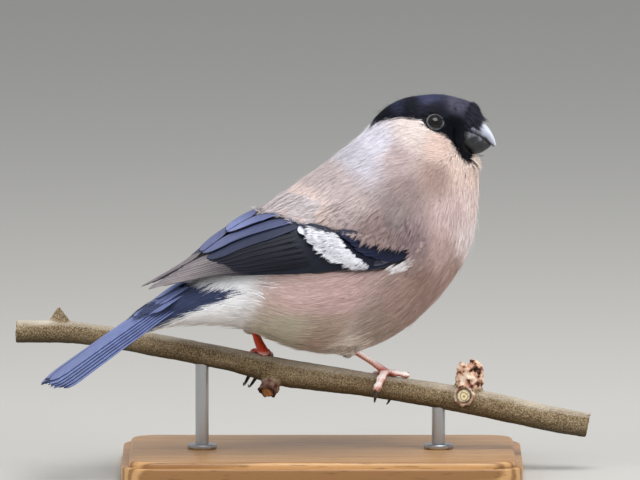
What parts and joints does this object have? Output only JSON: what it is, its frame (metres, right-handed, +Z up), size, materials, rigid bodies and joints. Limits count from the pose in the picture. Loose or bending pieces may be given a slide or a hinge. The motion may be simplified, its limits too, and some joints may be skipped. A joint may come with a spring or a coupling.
{
  "type": "perched female bullfinch model on display stand",
  "caption": "Life-size still model of a female bullfinch gripping a short cut branch, head turned aside, carried by rods on a flat display base.",
  "frame": {"origin": "centre of the underside of the stand's base", "axes": "+X the way the bill points and along the branch, +Y to the bird's far, left side, +Z up"},
  "size_m": [0.1729, 0.0762, 0.1121],
  "materials": {
    "body_plumage": "soft overlapping small feathers, buff, matt",
    "head_plumage": "short dense feathers, black cap with a faint blue gloss, pale cheek",
    "flight_feathers": "smooth firm feather vanes, blue-black with a soft gloss",
    "eye": "wet, very dark brown",
    "bill_horn": "smooth grey horn, satin",
    "leg_skin": "scaled pink skin with dark claws",
    "bark": "thin smooth bark with fine dark specks, matt",
    "stand_wood": "planed and oiled, satin",
    "stand_steel": "turned rod, satin"
  },
  "bodies": {
    "root": {"torso": "body_plumage", "neck": "body_plumage", "head": "head_plumage", "thigh_left": "body_plumage", "thigh_right": "body_plumage", "wing_left": "flight_feathers", "wing_right": "flight_feathers", "tail": "flight_feathers", "eye_left": "eye", "eye_right": "eye", "bill_upper": "bill_horn", "bill_lower": "bill_horn", "leg_left": "leg_skin", "leg_right": "leg_skin", "foot_left": "leg_skin", "foot_right": "leg_skin", "perch": "bark", "stand_base": "stand_wood", "stand_rod_left": "stand_steel", "stand_rod_right": "stand_steel"}
  },
  "joints": []
}
